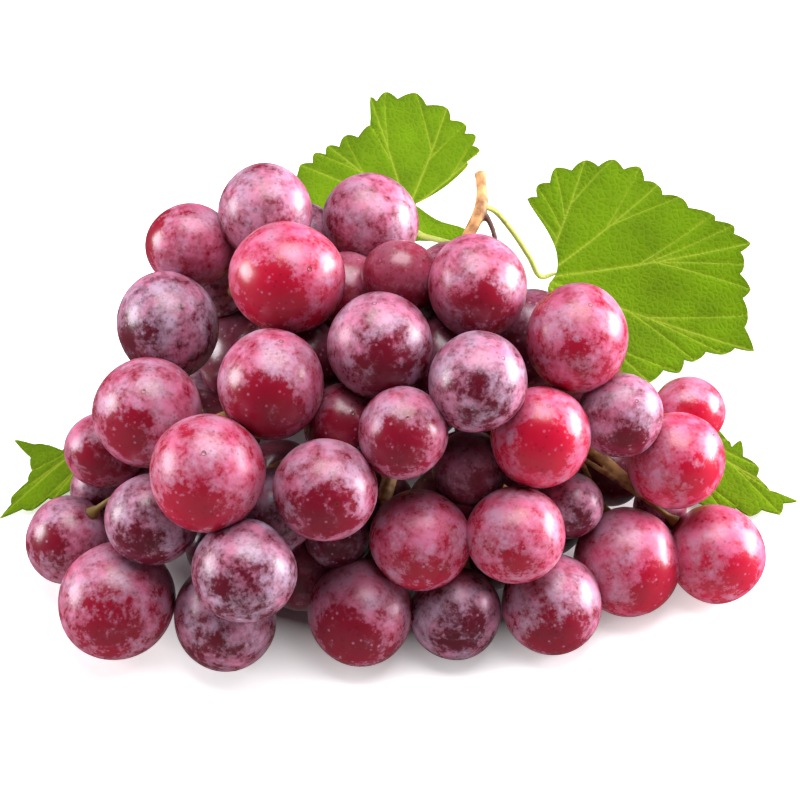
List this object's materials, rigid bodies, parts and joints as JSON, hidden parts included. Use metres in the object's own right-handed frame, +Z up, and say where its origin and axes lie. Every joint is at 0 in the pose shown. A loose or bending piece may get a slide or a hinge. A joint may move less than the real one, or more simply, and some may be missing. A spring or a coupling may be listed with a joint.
{
  "type": "bunch of grapes",
  "caption": "Bunch of large red table grapes lying on a surface, on its woody stem, with green toothed vine leaves behind and beside it.",
  "frame": {"origin": "on the surface that the bunch lies on, under the middle of the whole object's outline", "axes": "+X to the right along the length of the bunch, +Y away from the viewer towards the cut end of the stem, +Z up"},
  "size_m": [0.1932, 0.1692, 0.0851],
  "materials": {
    "grape_skin": "dark red skin under a pale mauve bloom, half glossy",
    "stem_wood": "tan, half woody, matte",
    "leaf_green": "bright yellow-green leaf with paler veins, satin"
  },
  "bodies": {
    "root": {"berries": "grape_skin", "stem": "stem_wood", "leaf_top_right": "leaf_green", "leaf_top_left": "leaf_green", "leaf_low_left": "leaf_green", "leaf_low_right": "leaf_green"}
  },
  "joints": []
}
